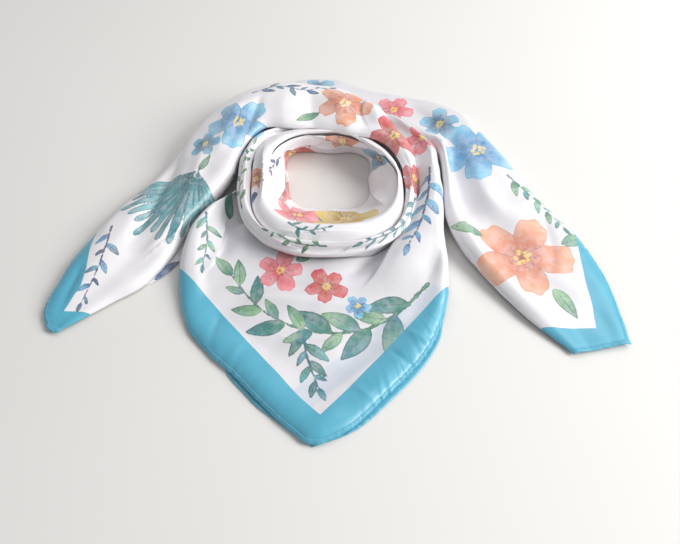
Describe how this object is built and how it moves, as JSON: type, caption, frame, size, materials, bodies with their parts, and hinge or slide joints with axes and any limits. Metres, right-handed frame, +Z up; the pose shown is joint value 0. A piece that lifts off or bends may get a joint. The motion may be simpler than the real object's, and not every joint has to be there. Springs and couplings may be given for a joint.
{
  "type": "satin square neck scarf",
  "caption": "Square satin scarf with a printed ground and a plain border, folded corner to corner and wound into a loose neck loop that lies flat.",
  "frame": {"origin": "on the surface that the scarf lies on, under the middle of its outline", "axes": "+X towards the scarf's right tail, +Y towards its back, +Z up"},
  "size_m": [0.586, 0.513, 0.0542],
  "materials": {
    "satin": "white satin with a soft sheen",
    "satin_inside": "white satin, folded inside",
    "border": "sky blue satin",
    "hem": "sky blue satin, turned and stitched"
  },
  "bodies": {
    "root": {"bib": "satin", "bib_lower_layer": "border", "bib_hidden_layers": "satin_inside", "hem_bib": "hem", "loop_outer_coil": "satin", "loop_second_coil": "satin", "loop_inner_wall": "satin", "loop_hidden_layers": "satin_inside", "crossing_band": "satin", "crossing_hidden_layers": "satin_inside", "tail_left": "satin", "tail_left_lower_layer": "satin", "tail_left_hidden_layers": "satin_inside", "hem_tail_left_side": "hem", "hem_tail_left_end": "hem", "back_stretch": "satin", "back_hidden_layers": "satin_inside", "tail_right": "satin", "tail_right_hidden_layers": "satin_inside", "hem_tail_right_side": "hem", "hem_tail_right_end": "hem"}
  },
  "joints": []
}
